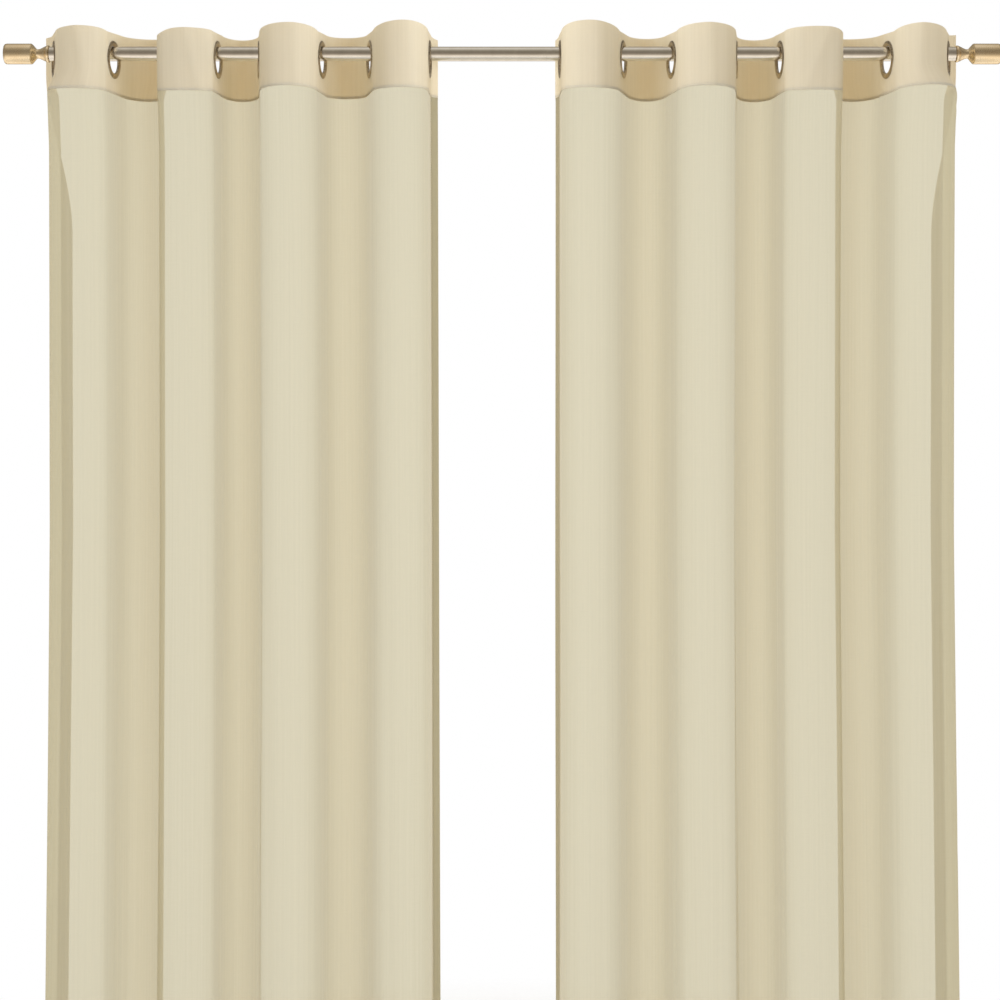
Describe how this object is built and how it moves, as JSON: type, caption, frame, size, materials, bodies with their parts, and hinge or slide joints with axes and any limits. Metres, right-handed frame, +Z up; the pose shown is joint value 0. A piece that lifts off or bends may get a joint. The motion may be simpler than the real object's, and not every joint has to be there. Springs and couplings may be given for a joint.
{
  "type": "sheer eyelet curtain pair on a curtain rod",
  "caption": "Pair of sheer voile curtains with a doubled heading band, hung in upright folds by metal eyelets on a straight metal rod with barrel finials.",
  "frame": {"origin": "on the rod's axis, half way along the rod", "axes": "+Z up, +X along the rod towards the right panel as seen from the room, +Y from the room towards the wall"},
  "size_m": [1.5526, 0.156, 2.1369],
  "materials": {
    "voile": "plain woven sheer polyester voile, champagne, light shows through it, fine upright slubs",
    "heading_voile": "the same voile turned over double with stiffening between, so that it is nearly opaque",
    "eyelet_metal": "aged nickel plate, rolled rims, half gloss",
    "rod_metal": "satin nickel plate, smooth",
    "finial_metal": "warm champagne nickel plate, smooth, half gloss"
  },
  "bodies": {
    "root": {"drop_left": "voile", "drop_right": "voile", "heading_left": "heading_voile", "heading_right": "heading_voile", "eyelet_left_1": "eyelet_metal", "eyelet_left_2": "eyelet_metal", "eyelet_left_3": "eyelet_metal", "eyelet_left_4": "eyelet_metal", "eyelet_left_5": "eyelet_metal", "eyelet_left_6": "eyelet_metal", "eyelet_left_7": "eyelet_metal", "eyelet_left_8": "eyelet_metal", "eyelet_right_1": "eyelet_metal", "eyelet_right_2": "eyelet_metal", "eyelet_right_3": "eyelet_metal", "eyelet_right_4": "eyelet_metal", "eyelet_right_5": "eyelet_metal", "eyelet_right_6": "eyelet_metal", "eyelet_right_7": "eyelet_metal", "eyelet_right_8": "eyelet_metal", "rod": "rod_metal", "finial_left": "finial_metal", "finial_right": "finial_metal"}
  },
  "joints": []
}
